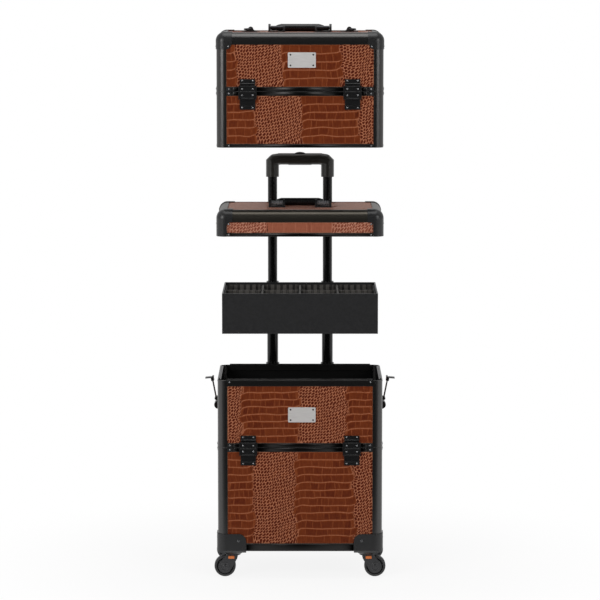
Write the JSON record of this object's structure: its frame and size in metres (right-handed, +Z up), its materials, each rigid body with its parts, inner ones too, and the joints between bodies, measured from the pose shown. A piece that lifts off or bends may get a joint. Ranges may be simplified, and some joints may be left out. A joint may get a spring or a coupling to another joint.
{
  "type": "rolling makeup case",
  "caption": "Wheeled makeup case shown apart: lower box with open ring, lift-out tray, loose lid and hinged top case, with a telescopic handle.",
  "frame": {"origin": "on the floor under the middle of the whole part", "axes": "+X to the right seen from the front, +Y from the front to the back, +Z up"},
  "size_m": [0.42, 0.293, 1.2108],
  "materials": {
    "croc_cover": "embossed",
    "lining_board": "matte",
    "satin_frame": "satin",
    "black_cap": "satin",
    "black_plastic": "satin",
    "black_tube": "gloss",
    "latch_metal": "satin",
    "bright_metal": "polished",
    "dark_metal": "satin",
    "bare_plate": "brushed",
    "tray_plastic": "satin",
    "ribbed_liner": "satin",
    "wheel": "satin"
  },
  "bodies": {
    "base": {"base_floor_panel": "lining_board", "base_wall_panels": "croc_cover", "base_frame": "satin_frame", "caster_housings": "black_plastic", "trolley_outer_tubes": "black_tube", "trolley_brackets": "black_plastic", "base_latch_plates": "latch_metal"},
    "ring": {"ring_wall_panels": "croc_cover", "ring_frame": "satin_frame", "ring_latch_keepers": "latch_metal", "tray_ledges": "black_plastic", "ring_plate": "bare_plate", "side_latch_bases": "latch_metal"},
    "side_latch_left": {"side_latch_left": "latch_metal"},
    "side_latch_right": {"side_latch_right": "latch_metal"},
    "base_latch_left": {"base_latch_left": "latch_metal"},
    "base_latch_right": {"base_latch_right": "latch_metal"},
    "tray": {"tray_box": "tray_plastic", "tray_liners": "ribbed_liner", "tray_long_divider": "ribbed_liner", "tray_cross_dividers": "ribbed_liner"},
    "lid": {"lid_top_panel": "croc_cover", "lid_side_panels": "croc_cover", "lid_frame": "satin_frame", "lid_corner_caps": "black_cap", "lid_handle_brackets": "black_plastic"},
    "lid_handle": {"lid_handle_grip": "black_plastic", "lid_handle_arms": "bright_metal"},
    "top_case": {"top_case_floor_panel": "lining_board", "top_case_wall_panels": "croc_cover", "top_case_frame": "satin_frame", "top_case_latch_plates": "latch_metal", "top_case_hinge_leaves": "latch_metal"},
    "top_latch_left": {"top_latch_left": "latch_metal"},
    "top_latch_right": {"top_latch_right": "latch_metal"},
    "top_lid": {"top_lid_panel": "croc_cover", "top_lid_side_panels": "croc_cover", "top_lid_frame": "satin_frame", "top_lid_corner_caps": "black_cap", "top_lid_latch_keepers": "latch_metal", "top_lid_hinge_leaves": "latch_metal", "top_lid_plate": "bare_plate", "top_handle_brackets": "black_plastic", "strap_saddles": "black_plastic"},
    "top_handle": {"top_handle_grip": "black_plastic", "top_handle_arms": "dark_metal"},
    "strap_ring_left": {"strap_ring_left": "dark_metal"},
    "strap_ring_right": {"strap_ring_right": "dark_metal"},
    "trolley_middle": {"trolley_middle_tubes": "black_tube"},
    "trolley_inner": {"trolley_inner_tubes": "black_tube", "trolley_grip": "black_plastic"},
    "trolley_button": {"trolley_button": "black_plastic"},
    "caster_fork_front_left": {"caster_fork_front_left": "black_plastic"},
    "caster_wheel_front_left": {"caster_wheel_front_left": "wheel"},
    "caster_fork_front_right": {"caster_fork_front_right": "black_plastic"},
    "caster_wheel_front_right": {"caster_wheel_front_right": "wheel"},
    "caster_fork_rear_left": {"caster_fork_rear_left": "black_plastic"},
    "caster_wheel_rear_left": {"caster_wheel_rear_left": "wheel"},
    "caster_fork_rear_right": {"caster_fork_rear_right": "black_plastic"},
    "caster_wheel_rear_right": {"caster_wheel_rear_right": "wheel"}
  },
  "joints": [
    {"name": "ring_lift", "type": "slide", "parent": "base", "child": "ring", "axis": [0, 0, 1], "range_m": [0, 0.08]},
    {"name": "tray_lift", "type": "slide", "parent": "ring", "child": "tray", "axis": [0, 0, 1], "range_m": [-0.193, 0]},
    {"name": "lid_lift", "type": "slide", "parent": "tray", "child": "lid", "axis": [0, 0, 1], "range_m": [-0.121, 0]},
    {"name": "top_case_lift", "type": "slide", "parent": "lid", "child": "top_case", "axis": [0, 0, 1], "range_m": [-0.119, 0]},
    {"name": "top_lid_hinge", "type": "hinge", "parent": "top_case", "child": "top_lid", "pos_m": [0, 0.1097, 1.06835], "axis": [-1, 0, 0], "range_deg": [0, 95]},
    {"name": "lid_handle_fold", "type": "hinge", "parent": "lid", "child": "lid_handle", "pos_m": [0, -0.034, 0.8189], "axis": [1, 0, 0], "range_deg": [0, 92]},
    {"name": "top_handle_fold", "type": "hinge", "parent": "top_lid", "child": "top_handle", "pos_m": [0, -0.034, 1.2018], "axis": [1, 0, 0], "range_deg": [0, 92]},
    {"name": "strap_ring_left_swing", "type": "hinge", "parent": "top_lid", "child": "strap_ring_left", "pos_m": [-0.108, -0.016, 1.199], "axis": [0, 1, 0], "range_deg": [0, 175]},
    {"name": "strap_ring_right_swing", "type": "hinge", "parent": "top_lid", "child": "strap_ring_right", "pos_m": [0.108, -0.016, 1.199], "axis": [0, -1, 0], "range_deg": [0, 175]},
    {"name": "base_latch_left_lever", "type": "hinge", "parent": "base", "child": "base_latch_left", "pos_m": [-0.113, -0.1428, 0.2765], "axis": [1, 0, 0], "range_deg": [0, 95]},
    {"name": "base_latch_right_lever", "type": "hinge", "parent": "base", "child": "base_latch_right", "pos_m": [0.113, -0.1428, 0.2765], "axis": [1, 0, 0], "range_deg": [0, 95]},
    {"name": "top_latch_left_lever", "type": "hinge", "parent": "top_case", "child": "top_latch_left", "pos_m": [-0.113, -0.1428, 1.0527], "axis": [1, 0, 0], "range_deg": [0, 95]},
    {"name": "top_latch_right_lever", "type": "hinge", "parent": "top_case", "child": "top_latch_right", "pos_m": [0.113, -0.1428, 1.0527], "axis": [1, 0, 0], "range_deg": [0, 95]},
    {"name": "side_latch_left_arm", "type": "hinge", "parent": "ring", "child": "side_latch_left", "pos_m": [-0.186, -0.016, 0.3833], "axis": [0, -1, 0], "range_deg": [-10, 80]},
    {"name": "side_latch_right_arm", "type": "hinge", "parent": "ring", "child": "side_latch_right", "pos_m": [0.186, -0.016, 0.3833], "axis": [0, 1, 0], "range_deg": [-10, 80]},
    {"name": "trolley_middle_slide", "type": "slide", "parent": "base", "child": "trolley_middle", "axis": [0, 0, 1], "range_m": [-0.179, 0]},
    {"name": "trolley_inner_slide", "type": "slide", "parent": "trolley_middle", "child": "trolley_inner", "axis": [0, 0, 1], "range_m": [-0.236, 0]},
    {"name": "trolley_button_press", "type": "slide", "parent": "trolley_inner", "child": "trolley_button", "axis": [0, 0, -1], "range_m": [0, 0.0024], "stiffness_N_per_m": 900, "springref_m": -0.001},
    {"name": "caster_swivel_front_left", "type": "hinge", "parent": "base", "child": "caster_fork_front_left", "pos_m": [-0.147, -0.1055, 0.051], "axis": [0, 0, 1], "continuous": true},
    {"name": "caster_roll_front_left", "type": "hinge", "parent": "caster_fork_front_left", "child": "caster_wheel_front_left", "pos_m": [-0.165, -0.1055, 0.0235], "axis": [0, 1, 0], "continuous": true},
    {"name": "caster_swivel_front_right", "type": "hinge", "parent": "base", "child": "caster_fork_front_right", "pos_m": [0.147, -0.1055, 0.051], "axis": [0, 0, 1], "continuous": true},
    {"name": "caster_roll_front_right", "type": "hinge", "parent": "caster_fork_front_right", "child": "caster_wheel_front_right", "pos_m": [0.165, -0.1055, 0.0235], "axis": [0, 1, 0], "continuous": true},
    {"name": "caster_swivel_rear_left", "type": "hinge", "parent": "base", "child": "caster_fork_rear_left", "pos_m": [-0.147, 0.0735, 0.051], "axis": [0, 0, 1], "continuous": true},
    {"name": "caster_roll_rear_left", "type": "hinge", "parent": "caster_fork_rear_left", "child": "caster_wheel_rear_left", "pos_m": [-0.165, 0.0735, 0.0235], "axis": [0, 1, 0], "continuous": true},
    {"name": "caster_swivel_rear_right", "type": "hinge", "parent": "base", "child": "caster_fork_rear_right", "pos_m": [0.147, 0.0735, 0.051], "axis": [0, 0, 1], "continuous": true},
    {"name": "caster_roll_rear_right", "type": "hinge", "parent": "caster_fork_rear_right", "child": "caster_wheel_rear_right", "pos_m": [0.165, 0.0735, 0.0235], "axis": [0, 1, 0], "continuous": true}
  ]
}
